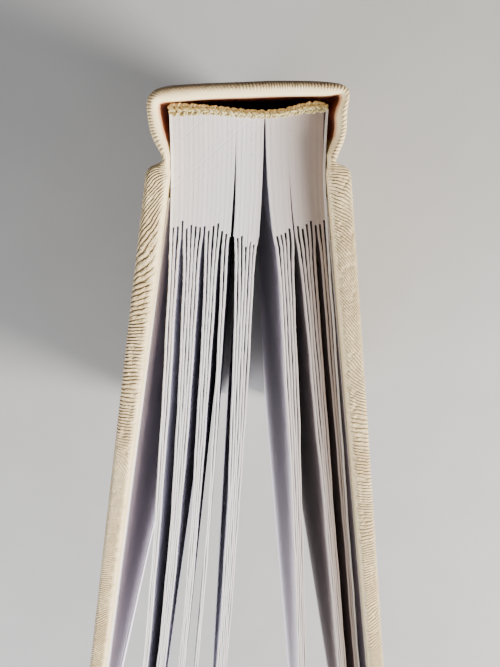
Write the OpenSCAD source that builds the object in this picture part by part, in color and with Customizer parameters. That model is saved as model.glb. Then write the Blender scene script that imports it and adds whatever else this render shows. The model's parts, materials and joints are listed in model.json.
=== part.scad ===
// Photo album, case bound: card leaves fanned on their stubs, hollow back, French joints and braided
// headbands. It stands on its tail, with the spine towards +Y, the fore-edge towards -Y and the head up.

/* [Leaves] */
// Thickness of one card leaf
leaf_t = 0.4; // [0.3:0.05:0.6]
// Thickness of one spacer stub between two leaves
stub_t = 0.36; // [0.25:0.01:0.5]
// Length of a leaf from the back of the block to its fore-edge
leaf_w = 205; // [150:5:220]
// Depth of the shortest spacer stub, from the back of the block
stub_w = 18; // [14:0.5:25]
// How much deeper the longest stubs reach, in the middle of the block
stub_swell = 3.7; // [0:0.1:5]
// Spacing that each leaf of a bundle loses as the leaves close up towards the fore-edge
leaf_close = 0.22; // [0:0.02:0.24]
// Hollow of the block's concave back
back_hollow = 1; // [0.5:0.1:2]
// Depth of the glue that holds the stubs together, measured from the corners of the back
glue_w = 2.4; // [2.1:0.1:4]

/* [Case] */
// Height of the boards, tail to head
case_h = 280; // [200:5:320]
// Width of a board, joint edge to fore-edge
board_w = 208; // [170:1:270]
// Thickness of the greyboard in the covers
board_t = 2.5; // [1.5:0.1:3]
// Thickness of the covering material
cloth_t = 0.6; // [0.4:0.05:0.8]
// Width of the covering turned in over the inside of a board
turn_in = 15; // [10:1:20]
// Thickness of the paper pasted inside a cover
pastedown_t = 0.25; // [0.15:0.05:0.4]
// Distance from a board's covered edge to the edge of its pastedown
pastedown_margin = 4; // [2:0.5:8]
// Height by which the boards stand past the leaves at head and tail
square_h = 3; // [2:0.5:5]
// Rounding of the covered edges
edge_r = 0.9; // [0.6:0.1:1.1]

/* [Spine] */
// Thickness of the stiffener in the spine piece
spine_t = 1.2; // [0.8:0.1:2]
// Reach of the spine piece past the front joint
spine_over_front = 2.4; // [1.6:0.1:3]
// Reach of the spine piece past the back joint
spine_over_back = 2; // [1.6:0.1:3]
// Height of the spine piece over the joints
spine_rise = 10.75; // [10:0.05:13]
// Slope of the spine piece: how much higher it stands over the back joint than over the front one
spine_skew = 0.7; // [0:0.1:1.2]
// Crown across the spine piece
spine_crown = 0.3; // [0:0.05:0.8]
// Rounding of the spine piece's outer corners
spine_r = 1.8; // [1:0.1:2.2]
// Height over the hinge lines from which the spine piece's walls run straight
wall_rise = 5.6; // [4.5:0.1:7]
// Height over the hinge lines at which the walls have reached their full thickness inside
wall_inside = 5; // [4:0.1:6]

/* [Joints] */
// Depth of the hinge lines, from the corners of the block's back
joint_depth = 7.3; // [6:0.1:9]
// Lean of the front cover away from its closed position
lean_front = 11.1; // [9:0.1:30]
// Lean of the back cover away from its closed position
lean_back = 8.3; // [8:0.1:30]
// Distance from a hinge line to the outside of its board
joint_out = 2.8; // [2.7:0.1:3.5]
// Distance from a hinge line to the end of its greyboard
joint_gap = 2.3; // [2:0.1:4]
// Width over which the covering rises from that end to its full height
shoulder_w = 1.2; // [0.8:0.1:2]
// Thickness of the covering in a joint
joint_t = 1; // [0.8:0.1:1.2]
// Room between the block's side and the front joint
joint_clear_front = 0.25; // [0.25:0.05:0.6]
// Room between the block's side and the back joint
joint_clear_back = 0.5; // [0.3:0.05:0.8]
// Clearance round a hinge line, where a cover turns against the spine piece
hinge_clear = 0.1; // [0.05:0.01:0.2]

/* [Back] */
// Thickness of the paper strip glued over the back
lining_t = 0.25; // [0.15:0.05:0.4]
// Diameter of the braid of a headband
braid_d = 1.5; // [1:0.1:1.6]
// Distance between the knots of the braid
knot_pitch = 1.12; // [0.9:0.02:1.3]
// Height of the tape that holds a headband
tape_w = 8; // [5:0.5:12]
// Thickness of that tape
tape_t = 0.35; // [0.2:0.05:0.5]

/* [Hidden] */
// Leaves in each bundle as they lie fanned, front to back. The outermost leaf on each side is a flyleaf.
bundles = [3, 5, 4, 2, 6, 5, 5, 3];
// Sideways drift of each bundle between the back and the ends of the stubs
drift = [-1.33, -1.33, -1.33, -1.33, -0.8, 1.8, 1.8, 1.8];
// Runs of bundles that hold together down to the ends of their stubs, and the depth to which each run
// is glued to the one before it
runs = [[0, 3], [4, 4], [5, 7]];
run_glue = [0, 6, glue_w];
// Lean of each bundle where it leaves the stubs, in degrees
bundle_lean = [-6.2, -5, -4.6, -3.9, -2.3, 4.6, 7.2, 7.6];
// Further lean of each bundle over its first 100 mm, in degrees
bundle_curl = [-1.9, -3.2, -2.1, -2, -2.1, -1.5, 0, 0];
// The leaves bend as far as this from the stubs and run straight from there on
curl_reach = 105;
// Slit between the back flyleaf and the block, widest at the back, and its depth
fly_slit = 0.3;
fly_slit_w = 7;
// Straight pieces that a bend, a leaf and a stub are drawn with, and sides of a braid
bend_steps = 6;
leaf_steps = 8;
stub_steps = 4;
braid_sides = 8;

last = len(bundles) - 1;
pitch = leaf_t + stub_t;
leaf_total = sum_to(bundles, len(bundles));
half_t = (leaf_total * pitch - stub_t) / 2;
block_h = case_h - 2 * square_h;
back_r = half_t * half_t / (2 * back_hollow) + back_hollow / 2;
drift_end = stub_w + stub_swell;

// Frame while drawing: x across the block from its middle, y = 0 at the corners of its back
joint_r = joint_t / 2;
joint_y = -joint_depth;
joint_x = [-(half_t + joint_clear_front + joint_r), half_t + joint_clear_back + joint_r];
lean = [lean_front, lean_back];
case_t = board_t + 2 * cloth_t;
board_face = joint_out - cloth_t;
board_back = board_face - board_t;
inner_face = joint_out - case_t;
board_end = joint_gap + board_w;
cover_end = board_end + cloth_t;
spine_x = [joint_x[0] - spine_over_front, joint_x[1] + spine_over_back];
spine_y = [joint_y + spine_rise - spine_skew / 2, joint_y + spine_rise + spine_skew / 2];
wall_t = 2 * cloth_t + spine_t;
// Rounding of a cover's inner edge beside the joint, and how far a cut reaches past what it cuts
shoulder_in = 1;
past = 1;

// Middle of the standing album, halfway between its outermost corners
corner_x = [for (s = [0, 1]) let (k = 2 * s - 1)
    joint_x[s] + k * ((cover_end - edge_r) * sin(lean[s]) + (joint_out - edge_r) * cos(lean[s]) + edge_r)];
corner_y = [for (s = [0, 1])
    joint_y - (cover_end - edge_r) * cos(lean[s]) + (inner_face + edge_r) * sin(lean[s]) - edge_r];
origin_x = (corner_x[0] + corner_x[1]) / 2;
origin_y = (min(corner_y) + max([for (p = spine_outside()) p[1]])) / 2;

function sum_to(list, n) = n <= 0 ? 0 : list[n - 1] + sum_to(list, n - 1);
function reversed(list) = [for (i = [len(list) - 1 : -1 : 0]) list[i]];
function between(a, b, k) = a + (b - a) * k;

// Middle of bundle g at depth d from the back
function bundle_x(g, d) =
    let (t = max(0, d - drift_end), c = min(t, curl_reach), turn = bundle_curl[g] * PI / 180 / 100)
    -half_t - stub_t / 2 + (sum_to(bundles, g) + bundles[g] / 2) * pitch
    + drift[g] * pow(min(max(d, 0) / drift_end, 1), 2)
    + t * tan(bundle_lean[g]) + turn * c * c / 2 + turn * c * (t - c);

// Spacing of the leaves of a bundle at depth d
function spacing(d) = pitch - leaf_close * min(1, max(0, d - stub_w) / curl_reach * 1.2);

// Side k, -1 or 1, of leaf i of bundle g at depth d
function leaf_x(g, i, k, d) =
    bundle_x(g, d) + (i - (bundles[g] - 1) / 2) * spacing(d) + k * leaf_t / 2
    + (g == last && i == bundles[g] - 1 ? fly_slit * max(0, 1 - d / fly_slit_w) : 0);

// Depth at which the spacer behind leaf i of bundle g ends: longest in the middle, a little uneven
function stub_depth(g, i) = let (n = sum_to(bundles, g) + i)
    stub_w + stub_swell * exp(-pow((n + 1 - leaf_total * 0.56) / 6.5, 2)) * 0.9 + 0.35 * sin(n * 137.5);

// Depth of the fore-edge of bundle g: every leaf has the same length, so a leaning one ends sooner
function leaf_end(g) = leaf_w * cos(bundle_lean[g] + bundle_curl[g] * 0.7);

// Side k of leaf i of bundle g as points, in the stubs down to depth a, and from there to the fore-edge
function stub_side(g, i, k, a) = [for (n = [0 : stub_steps])
    let (d = a * n / stub_steps) [leaf_x(g, i, k, d), -d]];
function leaf_side(g, i, k, a) = [for (n = [0 : leaf_steps])
    let (d = between(a, leaf_end(g), pow(n / leaf_steps, 1.4))) [leaf_x(g, i, k, d), -d]];

// Points along a cubic curve, and round an arc
function curve(a, b, c, d) = [for (k = [0 : bend_steps]) let (t = k / bend_steps, s = 1 - t)
    s * s * s * a + 3 * s * s * t * b + 3 * s * t * t * c + t * t * t * d];
function arc(c, r, a, b) = [for (k = [0 : bend_steps])
    let (t = between(a, b, k / bend_steps)) c + r * [cos(t), sin(t)]];

// A path moved by t to the right of its direction
function unit(v) = v / norm(v);
function beside(path, t) = [for (i = [0 : len(path) - 1])
    let (a = unit(path[min(i + 1, len(path) - 1)] - path[max(i - 1, 0)])) path[i] + t * [a[1], -a[0]]];

// Outside of the spine piece, from the front joint over the top to the back joint
function spine_wall(s) = let (k = 2 * s - 1, foot = [joint_x[s] + k * joint_r * 0.4, joint_y + joint_r * 0.8])
    curve(foot, foot + [k * joint_r * 0.7, wall_rise * 0.36], [spine_x[s], joint_y + wall_rise * 0.625],
        [spine_x[s], joint_y + wall_rise]);
function spine_outside() = concat(
    spine_wall(0),
    arc([spine_x[0] + spine_r, spine_y[0] - spine_r], spine_r, 180, 95),
    [for (k = [1 : bend_steps - 1]) let (t = k / bend_steps)
        [between(spine_x[0] + spine_r, spine_x[1] - spine_r, t),
         between(spine_y[0], spine_y[1], t) + spine_crown * 4 * t * (1 - t)]],
    arc([spine_x[1] - spine_r, spine_y[1] - spine_r], spine_r, 85, 0),
    reversed(spine_wall(1)));

module place() translate([-origin_x, -origin_y, 0]) children();

// The leaves that one run of bundles has between the flyleaves, as [bundle, leaf]
function run_leaves(r) = [for (g = [runs[r][0] : runs[r][1]]) for (i = [0 : bundles[g] - 1])
    if (g + i > 0 && (g < last || i < bundles[g] - 1)) [g, i]];

// One run of bundles: its leaves on their stubs, as a comb
module run_outline(r) {
    leaves = run_leaves(r);
    a = leaves[0];
    b = leaves[len(leaves) - 1];
    half = [stub_t / 2, 0];
    front = r == 0
        ? stub_side(0, 0, 1, stub_depth(0, 0))
        : [for (p = stub_side(a[0], a[1], -1, stub_depth(a[0], a[1] - 1))) p - half];
    back = r == len(runs) - 1
        ? stub_side(last, bundles[last] - 1, -1, stub_depth(b[0], b[1]))
        : [for (p = stub_side(b[0], b[1], 1, stub_depth(b[0], b[1]))) p + half];
    polygon(concat(front, [for (l = leaves) each concat(
        leaf_side(l[0], l[1], -1, stub_depth(l[0], l[1] - 1)),
        reversed(leaf_side(l[0], l[1], 1, stub_depth(l[0], l[1]))))], reversed(back)));
}

module page_block() color("#f2f0f4") place() translate([0, 0, square_h]) difference() {
    linear_extrude(block_h) {
        for (r = [0 : len(runs) - 1]) run_outline(r);
        for (r = [1 : len(runs) - 1]) let (x = leaf_x(runs[r][0], 0, -1, 0))
            translate([x - 2 * stub_t, -run_glue[r]]) square([3 * stub_t, run_glue[r]]);
    }
    translate([0, back_r - back_hollow, -past]) cylinder(h = block_h + 2 * past, r = back_r, $fn = 360);
}

// A flyleaf: glued along the block's side, and free beyond the stubs
module flyleaf(g, i, a) color("#eeecf4") place() translate([0, 0, square_h]) linear_extrude(block_h)
    polygon(concat(stub_side(g, i, -1, a), leaf_side(g, i, -1, a),
        reversed(leaf_side(g, i, 1, a)), reversed(stub_side(g, i, 1, a))));
module front_flyleaf() flyleaf(0, 0, stub_depth(0, 0));
module back_flyleaf() flyleaf(last, bundles[last] - 1, stub_depth(last, bundles[last] - 2));

// A strip that follows the concave back, t thick, from off to off + t outside it
module back_strip(off, t, inset, h) intersection() {
    translate([0, back_r - back_hollow, 0]) difference() {
        cylinder(h = h, r = back_r - off, $fn = 360);
        translate([0, 0, -past]) cylinder(h = h + 2 * past, r = back_r - off - t, $fn = 360);
    }
    translate([-half_t + inset, -back_hollow - past, 0])
        cube([2 * (half_t - inset), back_hollow + 2 * past + t, h]);
}

module back_lining() color("#6b2318") place() translate([0, 0, square_h + tape_w])
    back_strip(0, lining_t, leaf_t, block_h - 2 * tape_w);

// A headband: a tape down the back, and a braid along the edge of the leaves. The braid is one tube
// that swells at each knot, along an arc beside the back.
function braid_ring(n, k, turn, knots, z) =
    let (t = n / (4 * knots), a = between(-turn, turn, t),
         swell = 0.84 + 0.16 * cos(360 * t * knots), r = braid_d / 2 * swell, f = 360 * k / braid_sides,
         radius = back_r - r * cos(f))
    [radius * sin(a), back_r - back_hollow - radius * cos(a), z + r * sin(f)];
module braid(z) {
    turn = asin((half_t - braid_d / 2) / back_r);
    knots = floor(2 * turn * PI / 180 * back_r / knot_pitch);
    rings = 4 * knots;
    m = braid_sides;
    polyhedron(
        points = [for (n = [0 : rings]) for (k = [0 : m - 1]) braid_ring(n, k, turn, knots, z)],
        faces = concat(
            [[for (k = [0 : m - 1]) k]],
            [for (n = [0 : rings - 1]) for (k = [0 : m - 1]) each
                [[n * m + k, (n + 1) * m + (k + 1) % m, n * m + (k + 1) % m],
                 [n * m + k, (n + 1) * m + k, (n + 1) * m + (k + 1) % m]]],
            [[for (k = [m - 1 : -1 : 0]) rings * m + k]]));
}
module band(up) {
    edge = up ? case_h - square_h : square_h;
    color("#d9cc96") place() {
        translate([0, 0, up ? edge - tape_w : edge]) back_strip(0, tape_t, leaf_t, tape_w);
        braid(edge + (up ? 1 : -1) * braid_d / 2);
    }
}
module head_band() band(true);
module tail_band() band(false);

// The stiffener under the covering of the spine piece
module spine_stiffener() color("#8d8478") place() translate([0, 0, cloth_t])
    linear_extrude(case_h - 2 * cloth_t) polygon(stiffener_outline());
function crown_path() = [for (k = [0 : bend_steps]) let (t = k / bend_steps)
    [between(spine_x[0] + spine_r, spine_x[1] - spine_r, t),
     between(spine_y[0], spine_y[1], t) + spine_crown * 4 * t * (1 - t)]];
function stiffener_outline() =
    concat(beside(crown_path(), cloth_t), reversed(beside(crown_path(), cloth_t + spine_t)));

// Covering of the spine piece: one layer outside, turned over at head and tail, down to both joints
function turned_inside() = [
    [joint_x[0] + joint_r, joint_y + 2 * hinge_clear],
    [spine_x[0] + wall_t * 0.95, joint_y + wall_inside],
    [spine_x[0] + wall_t * 0.85, spine_y[0] - wall_t],
    [spine_x[1] - wall_t * 0.85, spine_y[1] - wall_t],
    [spine_x[1] - wall_t * 0.85, joint_y + wall_inside],
    [joint_x[1] - joint_r, joint_y + 2 * hinge_clear]];
module spine_cloth() color("#ece2cc") place() difference() {
    linear_extrude(case_h) polygon(concat(spine_outside(), reversed(turned_inside())));
    translate([0, 0, cloth_t]) linear_extrude(case_h - 2 * cloth_t) polygon(stiffener_outline());
    translate([0, 0, turn_in]) linear_extrude(case_h - 2 * turn_in)
        polygon(beside(spine_outside(), cloth_t));
    for (s = [0, 1]) translate([joint_x[s], joint_y, -past])
        cylinder(h = case_h + 2 * past, r = joint_r + hinge_clear, $fn = 48);
}

// Moves a cover, drawn with x from its hinge line to the fore-edge and y outwards, to its place
module cover_place(s) place() translate([joint_x[s], joint_y, 0])
    mirror([s == 0 ? 0 : 1, 0, 0]) rotate(-90 - lean[s]) mirror([0, 1, 0]) children();

// Outline of a covered board with its joint
function shoulder() = curve([joint_r * 0.3, joint_r * 0.9], [joint_gap * 0.5, joint_out * 0.45],
    [joint_gap * 0.5, joint_out], [joint_gap + shoulder_w, joint_out]);
module cover_outline() polygon(concat(
    shoulder(),
    arc([cover_end - edge_r, joint_out - edge_r], edge_r, 90, 0),
    arc([cover_end - edge_r, inner_face + edge_r], edge_r, 0, -90),
    arc([joint_gap + shoulder_in, inner_face + shoulder_in], shoulder_in, -90, -180),
    arc([0, 0], joint_r, 270, 180),
    arc([0, 0], joint_r, 165, 90)));

module greyboard(s) color("#9a9184") cover_place(s)
    translate([joint_gap, board_back, cloth_t]) cube([board_w, board_t, case_h - 2 * cloth_t]);

// Rounded envelope of the covered edges at head and tail
module edge_envelope() translate([-joint_t, 0, 0]) rotate([90, 0, 90])
    linear_extrude(cover_end + joint_t + past)
    polygon(concat(
        arc([joint_out - edge_r, case_h - edge_r], edge_r, 0, 90),
        arc([inner_face + edge_r, case_h - edge_r], edge_r, 90, 180),
        arc([inner_face + edge_r, edge_r], edge_r, 180, 270),
        arc([joint_out - edge_r, edge_r], edge_r, 270, 360)));

module cover_cloth(s) color("#f1e8d2") cover_place(s) difference() {
    intersection() {
        linear_extrude(case_h) cover_outline();
        edge_envelope();
    }
    translate([joint_gap, board_back, cloth_t]) cube([board_w, board_t, case_h - 2 * cloth_t]);
    translate([joint_gap - past, inner_face - past, turn_in])
        cube([board_end - turn_in - joint_gap + past, cloth_t + past, case_h - 2 * turn_in]);
}

// Pastedown: lies on the board, and steps up over the turned-in covering
module pastedown(s) {
    start = joint_gap + pastedown_margin;
    inside = board_end - turn_in;
    color("#ece9f2") cover_place(s) difference() {
        translate([start, inner_face - pastedown_t, pastedown_margin]) cube([
            cover_end - pastedown_margin - start, cloth_t + pastedown_t, case_h - 2 * pastedown_margin]);
        for (z = [0, case_h - turn_in]) translate([start - past, inner_face, z])
            cube([board_w + past, cloth_t + past, turn_in]);
        translate([inside, inner_face, 0]) cube([turn_in + past, cloth_t + past, case_h]);
        translate([start - past, inner_face - pastedown_t - past, turn_in + pastedown_t])
            cube([inside - pastedown_t - start + past, cloth_t + past, case_h - 2 * (turn_in + pastedown_t)]);
    }
}

module front_board() greyboard(0);
module front_cloth() cover_cloth(0);
module front_pastedown() pastedown(0);
module back_board() greyboard(1);
module back_cloth() cover_cloth(1);
module back_pastedown() pastedown(1);

page_block();
front_flyleaf();
back_flyleaf();
back_lining();
head_band();
tail_band();
spine_stiffener();
spine_cloth();
front_board();
front_cloth();
front_pastedown();
back_board();
back_cloth();
back_pastedown();
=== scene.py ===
import json
import math
import random

import bpy
import numpy as np
from mathutils import Matrix, Vector


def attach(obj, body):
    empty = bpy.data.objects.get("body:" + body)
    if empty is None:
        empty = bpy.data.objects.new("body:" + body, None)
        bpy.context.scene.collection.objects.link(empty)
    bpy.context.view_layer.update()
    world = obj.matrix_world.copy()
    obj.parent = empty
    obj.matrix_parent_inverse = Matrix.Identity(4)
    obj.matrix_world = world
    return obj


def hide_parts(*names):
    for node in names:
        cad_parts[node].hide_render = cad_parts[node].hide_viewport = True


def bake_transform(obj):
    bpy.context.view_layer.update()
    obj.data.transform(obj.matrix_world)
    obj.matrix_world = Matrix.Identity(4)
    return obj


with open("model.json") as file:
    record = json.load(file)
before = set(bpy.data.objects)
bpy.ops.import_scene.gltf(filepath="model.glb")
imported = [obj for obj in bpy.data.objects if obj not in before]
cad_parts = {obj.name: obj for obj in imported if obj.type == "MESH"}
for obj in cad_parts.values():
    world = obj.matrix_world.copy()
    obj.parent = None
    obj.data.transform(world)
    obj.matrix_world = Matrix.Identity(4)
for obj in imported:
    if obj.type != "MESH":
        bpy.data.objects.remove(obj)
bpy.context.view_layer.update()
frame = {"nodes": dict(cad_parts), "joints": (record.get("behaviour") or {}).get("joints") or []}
print("stage: CAD frame loaded")

mm = 0.001
hinges = [Vector(j["pos_m"]) for j in sorted(frame["joints"], key=lambda j: j["pos_m"][0])]

# Sizes shared by the pieces, in mm. Drawing frame: x from the block's middle, y = 0 at the back's corners.
album = {
    "head": 280.0,          # height of the boards
    "square": 3.0,          # the leaves stop this far short of head and tail
    "leafT": 0.4,
    "stubT": 0.36,
    "leafLength": 205.0,
    "stubDepth": 18.0,
    "stubSwell": 3.7,
    "backHollow": 1.0,
    "bundles": [3, 5, 4, 2, 6, 5, 5, 3],
    "drift": [-1.33, -1.33, -1.33, -1.33, -0.8, 1.8, 1.8, 1.8],
    "lean": [-6.2, -5, -4.6, -3.9, -2.3, 4.6, 7.2, 7.6],
    "curl": [-1.9, -3.2, -2.1, -2, -2.1, -1.5, 0, 0],
    "curlReach": 105.0,
    "hinge": [(-13.11, -7.3), (13.36, -7.3)],
    "coverLean": [11.1, 8.3],
    "joinOut": 2.8,         # hinge line to the outside of its board
    "boardFace": 3.7,       # thickness of a covered board
    "coverEnd": 210.9,      # hinge line to the covered fore-edge
    "boardEnd": 210.3,
    "turnIn": 15.0,
}
offset = Vector((hinges[0].x / mm - album["hinge"][0][0], hinges[0].y / mm - album["hinge"][0][1], 0))
pitch = album["leafT"] + album["stubT"]
leafTotal = sum(album["bundles"])
halfBack = (leafTotal * pitch - album["stubT"]) / 2
lastBundle = len(album["bundles"]) - 1


def toWorld(x, y, z):  # drawing frame in mm to the row frame in metres
    return ((x + offset.x) * mm, (y + offset.y) * mm, z * mm)


def deselect():
    if bpy.context.object and bpy.context.object.mode != "OBJECT":
        bpy.ops.object.mode_set(mode="OBJECT")
    bpy.ops.object.select_all(action="DESELECT")


deselect()


def sheetFrom(name, rows, flow=None, marks=None, closeLoop=False, capEnds=False):
    # A grid primitive whose points are set row by row. flow holds a UV for each point, marks a value.
    deselect()
    across, along = len(rows[0]), len(rows)
    bpy.ops.mesh.primitive_grid_add(x_subdivisions=across - 1, y_subdivisions=along - 1, size=1)
    piece = bpy.context.object
    piece.name = piece.data.name = name
    points = np.array(rows, np.float32).reshape(-1, 3)
    piece.data.vertices.foreach_set("co", points.ravel())
    corner = np.zeros(len(piece.data.loops), np.int32)
    piece.data.loops.foreach_get("vertex_index", corner)
    if flow is not None:
        layer = piece.data.uv_layers[0]
        layer.name = "flow"
        layer.data.foreach_set("uv", np.array(flow, np.float32).reshape(-1, 2)[corner].ravel())
    for key, values in (marks or {}).items():
        attribute = piece.data.attributes.new(key, "FLOAT", "POINT")
        attribute.data.foreach_set("value", np.array(values, np.float32).ravel())
    piece.data.update()
    bpy.ops.object.mode_set(mode="EDIT")
    bpy.ops.mesh.select_all(action="SELECT")
    if closeLoop:
        bpy.ops.mesh.remove_doubles(threshold=2e-7)
    if capEnds:
        bpy.ops.mesh.select_all(action="SELECT")
        bpy.ops.mesh.fill_holes(sides=0)
    bpy.ops.mesh.select_all(action="SELECT")
    bpy.ops.mesh.normals_make_consistent(inside=False)
    bpy.ops.object.mode_set(mode="OBJECT")
    return piece


def joined(name, parts):
    deselect()
    for part in parts:
        part.select_set(True)
    bpy.context.view_layer.objects.active = parts[0]
    bpy.ops.object.join()
    parts[0].name = parts[0].data.name = name
    return parts[0]


def smoothed(piece, angle=40):
    deselect()
    piece.select_set(True)
    bpy.context.view_layer.objects.active = piece
    bpy.ops.object.shade_smooth_by_angle(angle=math.radians(angle))
    return piece


def spline(points, count):  # count points along a smooth line through the given ones
    p = np.array(points, float)
    t = np.concatenate([[0], np.cumsum(np.linalg.norm(np.diff(p, axis=0), axis=1))])
    out = []
    slopes = np.gradient(p, t, axis=0)
    for s in np.linspace(0, t[-1], count):
        i = min(max(np.searchsorted(t, s) - 1, 0), len(t) - 2)
        h = t[i + 1] - t[i]
        u = (s - t[i]) / h
        out.append((2 * u**3 - 3 * u**2 + 1) * p[i] + (u**3 - 2 * u**2 + u) * h * slopes[i]
                   + (3 * u**2 - 2 * u**3) * p[i + 1] + (u**3 - u**2) * h * slopes[i + 1])
    return np.array(out)


class Value:
    # A shader socket that can be written in expressions
    def __init__(self, shader, socket):
        self.shader, self.socket = shader, socket

    def by(self, operation, other=None, flip=False):
        inputs = {0: self} if other is None else ({0: other, 1: self} if flip else {0: self, 1: other})
        return self.shader.node("Math", {"operation": operation}, inputs)

    def __add__(self, other): return self.by("ADD", other)
    def __radd__(self, other): return self.by("ADD", other)
    def __sub__(self, other): return self.by("SUBTRACT", other)
    def __rsub__(self, other): return self.by("SUBTRACT", other, True)
    def __mul__(self, other): return self.by("MULTIPLY", other)
    def __rmul__(self, other): return self.by("MULTIPLY", other)
    def __pow__(self, other): return self.by("POWER", other)
    def sin(self): return self.by("SINE")
    def abs(self): return self.by("ABSOLUTE")

    def between(self, low, high):  # 0 at low to 1 at high, smoothly
        return self.shader.node("MapRange", {"interpolation_type": "SMOOTHSTEP"},
                                {"Value": self, "From Min": low, "From Max": high})


class Shader:
    def __init__(self, name, **fixed):
        self.material = bpy.data.materials.new(name)
        self.material.use_nodes = True
        self.tree = self.material.node_tree
        self.surface = self.tree.nodes["Principled BSDF"]
        for key, value in fixed.items():
            self.surface.inputs[key.replace("_", " ")].default_value = value

    def node(self, kind, settings=None, inputs=None, out=0):
        made = self.tree.nodes.new("ShaderNode" + kind)
        for key, value in (settings or {}).items():
            if key == "stops":
                while len(made.color_ramp.elements) < len(value):
                    made.color_ramp.elements.new(0.5)
                for element, (place, tone) in zip(made.color_ramp.elements, value):
                    element.position = place
                    element.color = (*tone, 1) if isinstance(tone, tuple) else (tone, tone, tone, 1)
            else:
                setattr(made, key, value)
        for key, value in (inputs or {}).items():
            if isinstance(value, Value):
                self.tree.links.new(value.socket, made.inputs[key])
            else:
                made.inputs[key].default_value = value
        return Value(self, made.outputs[out])

    def place(self):
        return self.node("TexCoord", out=3)

    def flow(self):
        return self.node("UVMap", {"uv_map": "flow"})

    def mark(self, name):
        return self.node("Attribute", {"attribute_name": name}, out=2)

    def stretched(self, vector, scale):
        return self.node("Mapping", {}, {"Vector": vector, "Scale": scale})

    def noise(self, vector, size, detail=2.0, rough=0.5):  # size in mm
        return self.node("TexNoise", {}, {"Vector": vector, "Scale": 1 / (size * mm), "Detail": detail,
                                          "Roughness": rough})

    def table(self, value, stops, low, high):  # a number read off a list of (place, number), smoothly
        first, last = stops[0][0], stops[-1][0]
        ramp = [((x - first) / (last - first), (y - low) / (high - low)) for x, y in stops]
        read = self.node("ValToRGB", {"stops": ramp}, {0: (value - first) * (1 / (last - first))})
        return read * (high - low) + low

    def parts(self, vector):
        split = self.node("SeparateXYZ", {}, {0: vector})
        outputs = split.socket.node.outputs
        return [Value(self, outputs[i]) for i in range(3)]

    def mix(self, factor, first, second, blend="MIX"):
        return self.node("Mix", {"data_type": "RGBA", "blend_type": blend},
                         {0: factor, 6: tone(first), 7: tone(second)}, out=2)

    def bump(self, height, depth, strength=1.0):  # depth in mm
        return self.node("Bump", {}, {"Height": height, "Distance": depth * mm, "Strength": strength})

    def set(self, **links):
        for key, value in links.items():
            self.tree.links.new(value.socket, self.surface.inputs[key.replace("_", " ")])
        return self.material


def tone(colour):
    return colour if isinstance(colour, Value) or len(colour) == 4 else (*colour, 1.0)


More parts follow.
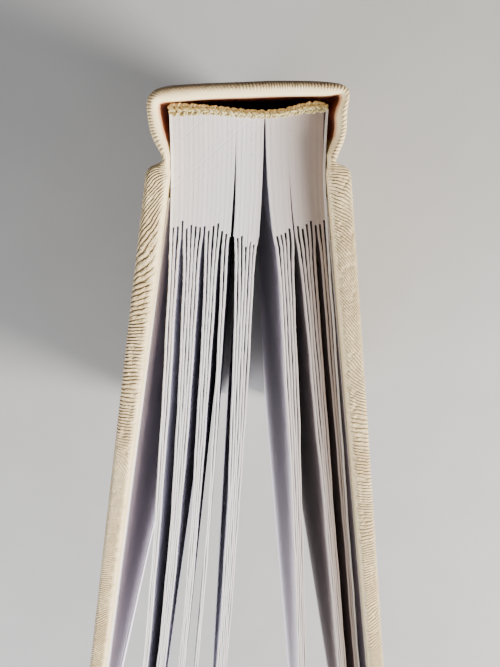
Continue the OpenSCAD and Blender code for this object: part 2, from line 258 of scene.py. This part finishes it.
def coveringFinish():
    look = {"swing": 3.4,      # how far the ribs swing to and fro, mm
            "waver": 0.5,      # and how unevenly they lie, in ribs
            "depth": 0.42,     # height of a rib for the bump, mm
            "crest": (0.95, 0.74, 0.39), "mid": (0.75, 0.54, 0.27), "valley": (0.24, 0.13, 0.045),
            "inside": (0.97, 0.79, 0.44), "worn": (0.27, 0.16, 0.085),
            "shade": (0.80, 0.46, 0.24), "hollow": (0.58, 0.14, 0.06),
            # Distance from rib to rib in mm, by mm from the middle of the spine piece
            "pitch": [(-242, 0.75), (-120, 0.62), (-85, 0.6), (-66, 0.78), (-50, 0.95), (-27, 1.0),
                      (-21, 0.6), (-15, 0.5), (15, 0.5), (21, 0.6), (29, 0.8), (50, 0.7), (72, 0.75),
                      (110, 0.8), (242, 0.8)],
            # Slope of the ribs along the covering, by mm from the middle of the spine piece
            "slant": [(-235, -0.1), (-165, 0.3), (-134, 0.9), (-119, 0.3), (-109, -0.4), (-99, -1.2),
                      (-88, -1.0), (-79, -0.2), (-70, 0.05), (-63, 0.25), (-55, 0.5), (-46, 0.65),
                      (-38, 1.2), (-33, 1.9), (-28, 1.7), (-21, 0.2), (0, 0.25), (20, 0.4), (28, -0.7),
                      (33, -0.95), (38, -1.35), (45, -2.1), (54, -1.6), (66, -0.8), (80, -0.2), (98, 0.0),
                      (112, 0.3), (126, 0.6), (140, 0.9), (170, 0.2), (235, -0.2)],
            # How strongly they show, likewise
            "contrast": [(-235, 0.6), (-150, 0.8), (-122, 0.6), (-108, 0.42), (-84, 0.45), (-74, 0.85),
                         (-60, 1.0), (-28, 0.9), (-23, 0.3), (-14, 0.14), (-4, 0.14), (6, 0.3), (14, 0.2),
                         (23, 0.25), (30, 0.6), (50, 0.5), (62, 0.55), (74, 0.7), (115, 0.65), (150, 0.6),
                         (235, 0.6)]}
    s = Shader("creamLeatherette", Roughness=0.5, Sheen_Weight=0.05, Sheen_Roughness=0.5)
    s.surface.inputs["Specular IOR Level"].default_value = 0.4
    flow = s.flow()
    u = s.parts(flow)[0]
    along = u * (1 / mm)
    slant = s.table(along, look["slant"], -3, 3)
    contrast = s.table(along, look["contrast"], 0, 1)
    across = s.node("Clamp", {}, {0: s.mark("across"), 1: -7 * mm, 2: 4 * mm})
    broad = s.noise(flow, 17, 1.0) - 0.5
    small = s.noise(flow, 2.2, 2.0) - 0.5
    bent = along - slant * across * (1 / mm) + broad * (look["swing"] * 2)
    counts, total = [(look["pitch"][0][0], 0.0)], 0.0
    for (x0, p0), (x1, p1) in zip(look["pitch"], look["pitch"][1:]):
        total += (x1 - x0) * 2 / (p0 + p1)
        counts.append((x1, total))
    count = s.table(bent, counts, 0, total) + small * (look["waver"] * 2)
    rib = 1 - (count * math.pi).sin().abs()           # 1 in a valley, 0 on a crest
    patch = s.noise(flow, 1.5, 3.0)
    broken = patch.between(0.22, 0.56)
    onCover = u.abs().between(20 * mm, 28 * mm)       # 0 on the spine piece, 1 on either cover
    fold = s.mark("fold")
    onBack = u.between(20 * mm, 28 * mm)
    shown = 1 - (fold - onCover * ((patch - 0.5) * 0.5 + 0.3) - onBack * 0.04).between(0.4, 0.74)
    grain = s.noise(flow, 0.2, 2.0)
    wear = s.noise(flow, 9, 3.0)
    valley = rib ** 1.8 * broken * shown * contrast
    base = s.mix(wear.between(0.3, 0.72), look["mid"], look["crest"])
    # Painted shade: the rib valleys are coloured darker, dark brown in their depths, as shade in the
    # creases; the contrast table sets how strongly
    base = s.mix(rib * shown * contrast * 0.6, base, look["mid"])
    base = s.mix(valley * 0.95, base, look["valley"])
    # Painted shade: the outer rounding of the spine piece's head and tail edges, which turns away from the
    # key light, is coloured dark brown
    atEdge = s.mark("across").between(-3 * mm, -0.6 * mm)
    outside = 1 - (fold + (patch - 0.5) * 0.25).between(0.1, 0.58)
    worn = (1 - u.abs().between(11 * mm, 17 * mm)) * atEdge * outside
    base = s.mix(worn * 0.85, base, look["worn"])
    # The smooth inner band of the folded edges is a lighter cream: the smooth turned-in covering, lightened
    # further as a painted highlight
    base = s.mix((1 - shown) * 0.9, base, look["inside"])
    # Painted shade: the inside faces of the spine piece darken with depth below head and tail, first to
    # peach, then to dark red
    lined = s.mark("lined")
    base = s.mix(lined.between(0, 0.25), base, look["shade"])
    base = s.mix(lined.between(0.2, 0.9), base, look["hollow"])
    rough = 0.42 + valley * 0.3 + grain * 0.14
    ribbed = (1 - rib ** 1.5) * (broken * 0.8 + 0.2) * shown * (contrast * 0.85 + 0.15)
    height = ribbed + grain * (0.1 + onCover * 0.14) + (patch - 0.5) * onCover * shown * 0.4
    return s.set(Base_Color=base, Roughness=rough, Normal=s.bump(height, look["depth"], 1.0))


def paperFinish(name, face, edge, fibre=0.03):
    # Card and paper: edges at head and tail show the cut, faces stay smooth
    s = Shader(name, Roughness=0.62)
    s.surface.inputs["Specular IOR Level"].default_value = 0.25
    place = s.place()
    x, y, _ = s.parts(place)
    up = s.parts(s.node("NewGeometry", out=1))[2].abs().between(0.4, 0.8)
    specks = s.noise(s.stretched(place, (1, 0.5, 1)), 0.3, 3.0, 0.65)
    stub = s.mark("stub")
    cut = s.mix(specks.between(0.62, 0.74) * (0.5 - stub * 0.4), edge, (0.30, 0.24, 0.27))
    cut = s.mix(s.mark("tint") * 0.2, cut, (0.42, 0.38, 0.42))
    # Knife marks run slantwise over the stubs: mm across their direction
    turn = math.radians(39)
    side = (y * math.cos(turn) - x * math.sin(turn)) * (1 / mm)
    middle = (offset.y - 5) * math.cos(turn) - (offset.x - 3) * math.sin(turn)
    knifeMarks = ((-1.2, 0.6), (0.5, 1.0), (1.35, 0.7), (1.75, 0.5), (3.0, 0.4), (5.0, 0.6), (5.35, 1.0))
    stops = [(-7.5, 0.5)]                             # under a half is a dark line of painted shade, over it a bright line of painted highlight
    for centre, strength in knifeMarks:
        stops += [(centre - 0.18, 0.5), (centre - 0.08, 0.5 - strength / 2),
                  (centre + 0.06, 0.5 + strength / 2), (centre + 0.16, 0.5)]
    deep = offset.y - y * (1 / mm)
    seen = s.noise(place, 5, 1.0).between(0.3, 0.46) * (1 - deep.between(18, 20)) * up
    sway = (s.noise(place, 12, 1.0) - 0.5) * 0.4
    scratch = (s.table(side - middle + sway, stops + [(7.5, 0.5)], 0, 1) * 2 - 1) * seen
    # The knife marks are real grooves in the bump; their dark and bright sides in the colour are painted
    # shade and painted highlight
    cut = s.mix(scratch.between(0, 1), cut, (0.98, 0.97, 0.96))
    cut = s.mix((0 - scratch).between(0, 1) * 0.6, cut, (0.45, 0.42, 0.43))
    mottle = s.noise(place, 14, 3.0)
    sides = s.mix(mottle.between(0.3, 0.75) * 0.25, face, tuple(c * 0.9 for c in face))
    # Painted shadow: the mark tan darkens and browns the leaves nearest the back cover, as if in that
    # cover's shadow
    tan = s.mark("tan")
    base = s.mix(up, sides, cut)
    base = s.mix(tan * 0.85, base, s.mix(1.0, base, (0.36, 0.26, 0.18), "MULTIPLY"))
    height = s.noise(s.stretched(place, (1, 0.25, 1)), 0.11, 2.0) + scratch * 0.8
    return s.set(Base_Color=base, Normal=s.bump(height, fibre, 0.45))


def threadFinish():
    s = Shader("goldThread", Roughness=0.33, Sheen_Weight=0.25, Sheen_Roughness=0.35)
    s.surface.inputs["Specular IOR Level"].default_value = 0.65
    flow = s.flow()
    u, v, _ = s.parts(flow)
    twist = ((u * (1 / (0.2 * mm)) + v * 3.0) * math.pi).sin() * 0.5 + 0.5
    shade = s.noise(flow, 0.9, 2.0)
    # Painted shade and highlight: the twist stripes darken in the grooves between fibres, and the bright
    # patches picked by the noise named shade are painted highlights
    base = s.mix(twist, (0.22, 0.155, 0.035), (0.56, 0.43, 0.15))
    base = s.mix(shade.between(0.5, 0.68) * 0.9, base, (0.97, 0.85, 0.50))
    return s.set(Base_Color=base, Roughness=0.28 + twist * 0.2, Normal=s.bump(twist, 0.06, 0.9))


def plainFinish(name, light, dark, grainSize, roughness, depth):
    s = Shader(name, Roughness=roughness)
    place = s.place()
    grain = s.noise(place, grainSize, 3.0, 0.6)
    cloudy = s.noise(place, grainSize * 14, 2.0)
    base = s.mix(grain.between(0.35, 0.68), dark, light)
    base = s.mix(cloudy.between(0.4, 0.7) * 0.3, base, dark)
    rough = roughness + (grain - 0.5) * 0.15
    return s.set(Base_Color=base, Roughness=rough, Normal=s.bump(grain, depth, 0.6))


finishes = {
    "leatherette": coveringFinish(),
    "card": paperFinish("albumCard", (0.86, 0.84, 0.93), (0.84, 0.79, 0.785)),
    "endpaper": paperFinish("endpaper", (0.83, 0.78, 0.87), (0.95, 0.94, 0.92)),
    "braid": threadFinish(),
    "lining": plainFinish("redLining", (0.20, 0.035, 0.022), (0.09, 0.014, 0.01),
                          grainSize=0.25, roughness=0.7, depth=0.05),
    "greyboard": plainFinish("greyboard", (0.42, 0.38, 0.33), (0.3, 0.26, 0.22),
                             grainSize=0.4, roughness=0.85, depth=0.08),
}
print("stage: finishes made")


def finishAs(piece, slotName, body=None):
    piece.data.materials.clear()
    piece.data.materials.append(finishes[slotName])
    if body:
        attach(piece, body)
    return piece


covering = {
    "layer": 0.6,
    "round": 0.95,          # rounding of the folded edges at head and tail
    "arcSteps": 4,
    "spineStations": 34,
    # Outside and inside of the spine piece at the head, from its middle out to the joint, per side
    "outer": [
        [(0, 3.7), (-3, 3.6), (-6.96, 3.45), (-10, 3.28), (-12.2, 3.08), (-13.6, 2.75), (-14.7, 2.1),
         (-15.3, 1.2), (-15.46, 0.1), (-15.42, -1.2), (-15.25, -2.9), (-14.85, -4.3), (-14.25, -5.5),
         (-13.72, -6.45), (-13.5, -7.0)],
        [(0, 3.7), (3.04, 3.82), (7.04, 3.84), (10.5, 3.77), (12.6, 3.62), (14.0, 3.38), (14.9, 2.9),
         (15.3, 2.1), (15.36, 1.1), (15.22, 0.0), (15.2, -1.0), (15.26, -2.2), (15.2, -3.6), (14.9, -4.9),
         (14.4, -6.1), (14.08, -7.0)],
    ],
    "inner": [
        [(0, 1.6), (-3, 1.52), (-6.96, 1.34), (-9.8, 1.12), (-11.8, 0.97), (-13.2, 0.85), (-13.75, 0.6),
         (-13.86, 0.05), (-13.82, -0.7), (-13.66, -1.8), (-13.42, -3.1), (-13.1, -4.3), (-12.86, -5.4),
         (-12.7, -6.3), (-12.62, -7.0)],
        [(0, 1.6), (3.04, 1.72), (7.04, 1.8), (10.2, 1.8), (12.2, 1.82), (13.4, 1.95), (14.1, 2.1),
         (14.45, 1.8), (14.3, 1.0), (13.9, 0.0), (13.72, -0.9), (13.85, -2.2), (13.8, -3.6), (13.5, -4.8),
         (13.1, -5.9), (12.8, -6.9)],
    ],
    # The same on the cover, as (distance from the hinge line, height over it)
    "coverOuter": [(0.35, 0.42), (0.8, 0.85), (1.15, 1.45), (1.55, 2.1), (2.2, 2.6), (3.2, 2.8), (5, 2.8)],
    "coverInner": [(0.35, -0.5), (0.8, -0.55), (1.2, -0.62), (1.6, -0.74), (2.2, -0.86), (3.2, -0.9),
                   (5, -0.9)],
    "shoulderStations": 14,
    "stations": [5.9, 6.1, 8, 12, 18, 26, 36, 50, 66, 84, 104, 126, 148, 168, 184, 195.2, 195.4, 199,
                 204, 207],
    # Inside, the board is bare this far from the hinge line, this far below the turned-in covering
    "bareFrom": 6, "recess": 0.7,
    # The inside of the spine piece is painted with shade that deepens from this depth on, over this depth,
    # and only this near its skin
    "linedFrom": 0.6, "linedOver": 8, "linedSkin": 0.45,
}


def coverPoint(side, a, b):
    k = 2 * side - 1
    hx, hy = album["hinge"][side]
    turn = math.radians(album["coverLean"][side])
    return (hx + k * (a * math.sin(turn) + b * math.cos(turn)),
            hy - a * math.cos(turn) + b * math.sin(turn))


def coveringStations(side):
    # Outer point, inner point, height lost at the ends and recess, for places along one half of it
    fine = covering["spineStations"]
    outer = spline(covering["outer"][side], fine)
    inner = spline(covering["inner"][side], fine)
    found = [(tuple(o), tuple(i), 0.0, 0.0) for o, i in zip(outer, inner)]
    shoulderOut = spline(covering["coverOuter"], covering["shoulderStations"])
    shoulderIn = spline(covering["coverInner"], covering["shoulderStations"])
    for o, i in zip(shoulderOut, shoulderIn):
        found.append((coverPoint(side, *o), coverPoint(side, *i), 0.0, 0.0))
    top, bottom = album["joinOut"], album["joinOut"] - album["boardFace"]
    for a in covering["stations"]:
        bare = covering["recess"] if covering["bareFrom"] < a < album["boardEnd"] - album["turnIn"] else 0.0
        found.append((coverPoint(side, a, top), coverPoint(side, a, bottom), 0.0, bare))
    r, end = covering["round"], album["coverEnd"]
    for k in range(covering["arcSteps"] + 1):
        turn = math.pi / 2 * k / covering["arcSteps"]
        a, drop = end - r + r * math.sin(turn), r * (1 - math.cos(turn))
        found.append((coverPoint(side, a, top - drop), coverPoint(side, a, bottom + drop), drop, 0.0))
    return found


def foldLoop(o, i, lost, recess):
    # One closed loop: up the outside, over the head, down the inside and under the tail
    o, i = Vector(o), Vector(i)
    thick = (i - o).length
    direction = (i - o) / thick
    r = min(covering["round"], thick / 2 - 0.02)
    top, bottom = album["head"] - lost, lost
    steps = covering["arcSteps"]
    turnIn = album["turnIn"]
    outside = [bottom + r, 2, 4.5, 8, turnIn, turnIn + 0.1, 60, 105, 150, 195, 235, 250]
    outside += [album["head"] - turnIn - 0.1, album["head"] - turnIn, 272, 275.5, 278, top - r]
    path = [(0.0, z) for z in outside]
    for k in range(1, steps + 1):
        t = math.pi / 2 * k / steps
        path.append((r - r * math.cos(t), top - r + r * math.sin(t)))
    path.append((thick / 2, top))
    for k in range(0, steps):
        t = math.pi / 2 * k / steps
        path.append((thick - r + r * math.sin(t), top - r + r * math.cos(t)))
    path += [(thick - (recess if turnIn < z < album["head"] - turnIn else 0), z) for z in reversed(outside)]
    for k in range(1, steps + 1):
        t = math.pi / 2 * k / steps
        path.append((thick - r + r * math.cos(t), bottom + r - r * math.sin(t)))
    path.append((thick / 2, bottom))
    for k in range(0, steps):
        t = math.pi / 2 * k / steps
        path.append((r - r * math.sin(t), bottom + r - r * math.cos(t)))
    path.append(path[0])
    points, length, marks, across, lined, run = [], [], [], [], [], 0.0
    for n, (b, z) in enumerate(path):
        flat = o + direction * b
        points.append(toWorld(flat.x, flat.y, z))
        if n:
            run += math.dist(path[n - 1], path[n])
        length.append(run)
        marks.append(1.0 if b > thick - 1 and turnIn < z < album["head"] - turnIn else b / thick)
        atHead = z > album["head"] / 2
        beyond = (z - (album["head"] - lost)) if atHead else (lost - z)
        across.append(min(b, thick) * mm + (beyond * mm if b < thick / 2 else 0))
        deep = min(z, album["head"] - z)
        shade = min(1.0, max(0.0, (deep - covering["linedFrom"]) / covering["linedOver"]))
        lined.append(shade if b > thick - covering["linedSkin"] and lost == 0 else 0.0)
    return points, length, marks, across, lined


def makeCovering(side, name):
    rows, flow, folds, slips, hollowShadeRows = [], [], [], [], []
    run, before = 0.0, None
    for n, (o, i, lost, recess) in enumerate(coveringStations(side)):
        points, length, fold, across, lined = foldLoop(o, i, lost, recess)
        if before is not None:
            run += math.dist(before, o)
        before = o
        rows.append(points)
        k = 2 * side - 1
        flow.append([(k * run * mm, v * mm) for v in length])
        folds.append(fold)
        slips.append(across)
        hollowShadeRows.append([value if n < covering["spineStations"] - 4 else 0 for value in lined])
    marks = {"fold": folds, "across": slips, "lined": hollowShadeRows}
    piece = sheetFrom(name, rows, flow, marks, closeLoop=True, capEnds=True)
    finishAs(smoothed(piece, 50), "leatherette")
    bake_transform(piece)
    return piece


frontCovering = makeCovering(0, "front_covering")
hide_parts("front_cloth", "spine_cloth")
backCovering = makeCovering(1, "back_covering")
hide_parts("back_cloth")
print("stage: covering made")


leaves = {
    "seed": 7,
    "step": 1.6,            # from point to point along a leaf, mm
    "fine": 0.5,            # and near the ends of the stubs,
    "fineBefore": 4, "fineAfter": 26,
    "burr": 0.026,          # roughness of the cut edges sideways
    "stubBurr": 0.008,
    "cut": 0.02,            # and in height
    "crown": 0.07,          # the cut edges are crowned by this much
    "stubDrop": 0.022,      # the stubs end up to this far short of the block's edge,
    "leafRise": 0.02,       # and the leaves up to this far past it
    "wander": 0.045,        # a leaf sways this far to either side
    # The leaves of a bundle lie closer past their stubs, and closer still farther out
    "close": 0.21, "closeOver": 4.5, "closeFar": 0.11, "farFrom": 48.0, "farTo": 80.0,
    "backSlit": 0.3, "backSlitTo": 9.0,
    "slits": {3: (4.0, 0.5), 4: (0.6, 3.0), 5: (9.0, 0.35)},    # after this bundle: from this depth, width
    "tanFrom": 16, "tanTo": 29, "tanFly": 0.6,                  # the painted shadow carried by the mark tan grows between these leaves
    # The stubs are longest here in the row of leaves, over this many leaves, by this share, and uneven
    "swellAt": 0.56, "swellOver": 6.5, "swellShare": 0.9, "uneven": 0.35,
}
dice = random.Random(leaves["seed"])


def bundleX(g, d):  # middle of bundle g at depth d from the back
    t = max(0.0, d - album["stubDepth"] - album["stubSwell"])
    c = min(t, album["curlReach"])
    turn = math.radians(album["curl"][g]) / 100
    before = sum(album["bundles"][:g]) + album["bundles"][g] / 2
    end = album["stubDepth"] + album["stubSwell"]
    return (-halfBack - album["stubT"] / 2 + before * pitch
            + album["drift"][g] * min(max(d, 0) / end, 1) ** 2
            + t * math.tan(math.radians(album["lean"][g])) + turn * c * c / 2 + turn * c * (t - c))


def backSlit(d):  # the back flyleaf stands off its stub near the back
    return leaves["backSlit"] * max(0, 1 - d / leaves["backSlitTo"])


def leafX(g, i, k, d):  # side k, -1 or 1, of leaf i of bundle g at depth d
    free = max(0, d - album["stubDepth"] - 2)
    far = min(1, max(0, (d - leaves["farFrom"]) / (leaves["farTo"] - leaves["farFrom"])))
    close = leaves["close"] * (1 - math.exp(-free / leaves["closeOver"]))
    close += leaves["closeFar"] * far * far * (3 - 2 * far)
    slit = backSlit(d) if g == lastBundle and i == album["bundles"][g] - 1 else 0
    place = (i - (album["bundles"][g] - 1) / 2) * (pitch - close)
    return bundleX(g, d) + place + k * album["leafT"] / 2 + slit


def stubEnd(g, i):
    n = sum(album["bundles"][:g]) + i
    swell = math.exp(-((n + 1 - leafTotal * leaves["swellAt"]) / leaves["swellOver"]) ** 2)
    swell *= leaves["swellShare"]
    uneven = leaves["uneven"] * math.sin(math.radians(n * 137.5))
    return album["stubDepth"] + album["stubSwell"] * swell + uneven


def leafEnd(g):
    return album["leafLength"] * math.cos(math.radians(album["lean"][g] + album["curl"][g] * 0.7))


def backDepth(x):
    return album["backHollow"] * max(0.0, 1 - (x / halfBack) ** 2)


def makeStrip(name, sideA, sideB, start, end, rise, marks, burr):
    # A strip of card between two side functions of the depth, with a ragged cut at head and tail
    low, high = album["square"] - rise, album["head"] - album["square"] + rise
    depths, d = [], start
    while d < end - 0.3:
        depths.append(d)
        near = album["stubDepth"] - leaves["fineBefore"] < d < album["stubDepth"] + leaves["fineAfter"]
        d += leaves["fine"] if near else leaves["step"]
    rows, waver = [], dice.uniform(0, 2 * math.pi)
    for d in depths + [end]:
        a, b = sideA(d), sideB(d)
        free = min(1, max(0, d - album["stubDepth"]) / 3)      # rough only where the strip stands free
        if burr > leaves["stubBurr"]:
            wave = math.sin(d / 5.3 + waver) + math.sin(d / 2.1 + 3 * waver) * 0.6
            slip = leaves["wander"] * free * wave
            a, b = a + slip, b + slip
        rough = burr * free * (0.35 + 0.65 * math.exp(-max(0, d - album["stubDepth"] - 6) / 14))
        shift = [dice.gauss(0, 1) * rough for _ in range(4)]
        cut = [dice.uniform(-1, 1) * leaves["cut"] * (0.3 + free) for _ in range(4)]
        crown = min(leaves["crown"] * (0.12 + 0.88 * free), (b - a) / 3)
        middle = (a + b) / 2
        ring = [(a, low + 0.4), (a + shift[0], low + cut[0] + crown), (middle, low + cut[0]),
                (b + shift[1], low + cut[1] + crown), (b, low + 0.4), (b, high - 0.4),
                (b + shift[2], high + cut[2] - crown), (middle, high + cut[2]),
                (a + shift[3], high + cut[3] - crown), (a, high - 0.4)]
        ring.append(ring[0])
        rows.append([toWorld(x, -d, z) for x, z in ring])
    values = {key: [[value] * 11] * len(rows) for key, value in marks.items()}
    return sheetFrom(name, rows, None, values, closeLoop=True, capEnds=True)


parts, flyleaves, number = [], {}, 0
for g, count in enumerate(album["bundles"]):
    for i in range(count):
        fly = "front" if g + i == 0 else "back" if g == lastBundle and i == count - 1 else None
        back = backDepth(leafX(g, i, 0, 0)) + 0.02
        # tan: how much painted shadow this leaf gets
        tan = min(1.0, max(0.0, (number - leaves["tanFrom"]) / (leaves["tanTo"] - leaves["tanFrom"])))
        tan = leaves["tanFly"] if fly == "back" else tan
        number += 1
        strip = makeStrip("leaf", lambda d: leafX(g, i, -1, d), lambda d: leafX(g, i, 1, d),
                          back, leafEnd(g), dice.uniform(-0.3, 1) * leaves["leafRise"],
                          {"tint": dice.uniform(0, 0.5), "tan": tan, "stub": 0.0}, leaves["burr"])
        if fly:
            flyleaves[fly] = strip
        else:
            parts.append(strip)
        if fly == "back":
            continue
        end = stubEnd(g, i) + dice.uniform(-0.9, 0.5)
        following = (g, i + 1) if i + 1 < count else (g + 1, 0)
        opening = leaves["slits"].get(g) if i + 1 == count else None
        sides = [(lambda d: leafX(g, i, 1, d), lambda d: leafX(*following, -1, d))]
        if following == (lastBundle, album["bundles"][lastBundle] - 1):
            sides = [(lambda d: leafX(g, i, 1, d), lambda d: leafX(*following, -1, d) - backSlit(d))]
        if opening:
            def half(d):  # each side of a slit keeps half of the room, less the slit
                room = leafX(*following, -1, d) - leafX(g, i, 1, d)
                gap = min(opening[1], max(0.0, d - opening[0]) / 12 * opening[1])
                return min(album["stubT"] / 2, max(0.05, (room - gap) / 2))
            sides = [(lambda d: leafX(g, i, 1, d), lambda d: leafX(g, i, 1, d) + half(d)),
                     (lambda d: leafX(*following, -1, d) - half(d), lambda d: leafX(*following, -1, d))]
        for sideA, sideB in sides:
            parts.append(makeStrip(
                "stub", sideA, sideB, back, end, -dice.uniform(0, 1) * leaves["stubDrop"],
                {"tint": dice.uniform(0, 1), "tan": tan, "stub": 1.0}, leaves["stubBurr"]))

block = finishAs(smoothed(joined("leaf_block", parts), 35), "card", "block")
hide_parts("page_block")
for fly, strip in flyleaves.items():
    strip.name = strip.data.name = fly + "_fly_sheet"
    finishAs(smoothed(strip, 35), "endpaper", "block")
    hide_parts(fly + "_flyleaf")
print("stage: leaves made")


headband = {
    # Middle lines of the rows of twisted thread, nearest to the leaves first, and the height of each row
    "rows": [
        {"line": [(-12.3, -0.35), (-11.5, -0.66), (-9, -0.57), (-5.1, -0.57), (-1.26, -0.88), (2.16, -1.02),
                  (4.96, -0.88), (8.06, -0.46), (10.4, -0.24), (11.5, -0.16), (12.3, -0.05)],
         "z": 0.42, "strand": 0.22, "radius": 0.19, "turn": 1.45, "phase": 0.0},
        {"line": [(-12.35, 0.0), (-11.5, -0.1), (-9, -0.1), (-5.1, -0.24), (-1.26, -0.6), (2.16, -0.76),
                  (4.96, -0.62), (8.06, -0.08), (10.4, 0.24), (11.5, 0.25), (12.35, 0.1)],
         "z": 0.62, "strand": 0.21, "radius": 0.17, "turn": -1.15, "phase": 0.6},
        {"line": [(-12.4, 0.3), (-11.5, 0.45), (-9, 0.38), (-5.08, 0.1), (-1.25, -0.3), (2.14, -0.5),
                  (4.91, -0.36), (7.97, 0.32), (10.26, 0.74), (11.34, 0.68), (12.3, 0.3)],
         "z": 0.22, "strand": 0.27, "radius": 0.15, "turn": 1.25, "phase": 1.9},
    ],
    "ring": 7,
    "tapeT": 0.35,
    "tapeH": 8.0,
    "tapeSteps": 24,
    "points": 320,          # along a strand
}


def makeStrand(row, phase, up):
    count = headband["points"]
    path = spline(row["line"], count)
    length = np.concatenate([[0], np.cumsum(np.linalg.norm(np.diff(path, axis=0), axis=1))])
    level = album["head"] - album["square"] + row["z"] if up else album["square"] - row["z"]
    side = np.gradient(path, axis=0)
    side /= np.linalg.norm(side, axis=1)[:, None]
    across = np.stack([-side[:, 1], side[:, 0]], 1)
    # The twist is uneven, as hand work is
    turn = length / row["turn"] * 2 * math.pi + phase + 0.9 * np.sin(length * 0.83 + phase)
    turn += 0.5 * np.sin(length * 2.3)
    swing = row["radius"] * (1 + 0.22 * np.sin(length * 1.7 + phase))
    centre = [Vector((*(path[n] + across[n] * swing[n] * math.sin(turn[n])),
                      level + swing[n] * math.cos(turn[n]))) for n in range(count)]
    rows, flow = [], []
    ring = headband["ring"]
    for n, c in enumerate(centre):
        along = (centre[min(n + 1, count - 1)] - centre[max(n - 1, 0)]).normalized()
        first = along.cross(Vector((0, 0, 1))).normalized()
        second = along.cross(first)
        points = []
        for k in range(ring + 1):
            t = 2 * math.pi * k / ring
            points.append(c + row["strand"] * (first * math.cos(t) + second * math.sin(t)))
        rows.append([toWorld(*p) for p in points])
        flow.append([(length[n] * mm, k / ring) for k in range(ring + 1)])
    return sheetFrom("strand", rows, flow, None, closeLoop=True, capEnds=True)


def makeHeadband(up, name, node):
    parts = [makeStrand(row, row["phase"] + k * math.pi, up) for row in headband["rows"] for k in range(2)]
    rows, flow = [], []
    top = album["head"] - album["square"] if up else album["square"] + headband["tapeH"]
    low = top - headband["tapeH"]
    steps = headband["tapeSteps"]
    for n in range(steps + 1):
        x = -halfBack + 0.4 + (2 * halfBack - 0.8) * n / steps
        y = -backDepth(x)
        near, far = y + 0.01, y + headband["tapeT"]
        ring = [(near, low), (far, low), (far, top), (near, top), (near, low)]
        rows.append([toWorld(x, *p) for p in ring])
        flow.append([(x * mm, k / 5) for k in range(5)])
    parts.append(sheetFrom("tape", rows, flow, None, closeLoop=True, capEnds=True))
    piece = finishAs(smoothed(joined(name, parts), 60), "braid", "block")
    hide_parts(node)
    return piece


makeHeadband(True, "head_braid", "head_band")
makeHeadband(False, "tail_braid", "tail_band")
print("stage: headbands made")

# The CAD nodes that stay
for node, slotName in {"back_lining": "lining", "spine_stiffener": "greyboard", "front_board": "greyboard",
                       "back_board": "greyboard", "front_pastedown": "endpaper",
                       "back_pastedown": "endpaper"}.items():
    frame["nodes"][node].data.materials.clear()
    frame["nodes"][node].data.materials.append(finishes[slotName])
print("stage: CAD nodes finished")

# Camera, floor and light
studio = {
    "eye": (3.965, 103.03, 363.0),      # mm
    "right": (0.999891, 0.0, 0.014793),
    "down": (-0.005567, -0.926487, 0.376286),
    "ahead": (0.013705, -0.376327, -0.926385),
    "lens": 27.04,                      # for 36 mm along the picture's long side
    "floor": (0.36, 0.357, 0.353),
    "world": (0.93, 0.94, 1.0, 1), "worldStrength": 0.1,
    # Place and target in m, size in m, power in W and colour
    "lights": {
        "key": ((1.12, -0.52, 0.80), (0, 0.02, 0.27), 0.55, 70, (1.0, 0.965, 0.91)),
        "top": ((0.1, -0.35, 1.3), (0, 0.05, 0.25), 0.6, 5.0, (0.97, 0.98, 1.0)),
        "fill": ((-0.85, -0.85, 0.55), (0, 0, 0.15), 0.8, 24.0, (0.93, 0.95, 1.0)),
    },
}
cameraData = bpy.data.cameras.new("camera")
camera = bpy.data.objects.new("camera", cameraData)
bpy.context.scene.collection.objects.link(camera)
cameraData.lens = studio["lens"]
cameraData.sensor_width = 36
cameraData.clip_start = 0.005
axes = Matrix((studio["right"], [-c for c in studio["down"]], [-c for c in studio["ahead"]])).transposed()
camera.matrix_world = Matrix.Translation(Vector(studio["eye"]) * mm) @ axes.to_4x4()
bpy.context.scene.camera = camera

deselect()
bpy.ops.mesh.primitive_plane_add(size=6)
floor = bpy.context.object
floor.name = "floor"
floorShader = Shader("paleFloor", Roughness=0.8)
floorTone = floorShader.noise(floorShader.place(), 60, 2.0)
floor.data.materials.append(floorShader.set(Base_Color=floorShader.mix(
    floorTone.between(0.3, 0.7), studio["floor"], tuple(c * 0.96 for c in studio["floor"]))))


def areaLight(name, place, target, size, power, colour):
    data = bpy.data.lights.new(name, "AREA")
    data.shape, data.size, data.energy, data.color = "DISK", size, power, colour
    lamp = bpy.data.objects.new(name, data)
    bpy.context.scene.collection.objects.link(lamp)
    lamp.location = place
    lamp.rotation_mode = "QUATERNION"
    lamp.rotation_quaternion = (Vector(target) - Vector(place)).to_track_quat("-Z", "Y")


for name, settings in studio["lights"].items():
    areaLight(name, *settings)
world = bpy.data.worlds.new("studio")
bpy.context.scene.world = world
world.use_nodes = True
world.node_tree.nodes["Background"].inputs[0].default_value = studio["world"]
world.node_tree.nodes["Background"].inputs[1].default_value = studio["worldStrength"]
print("stage: studio ready")
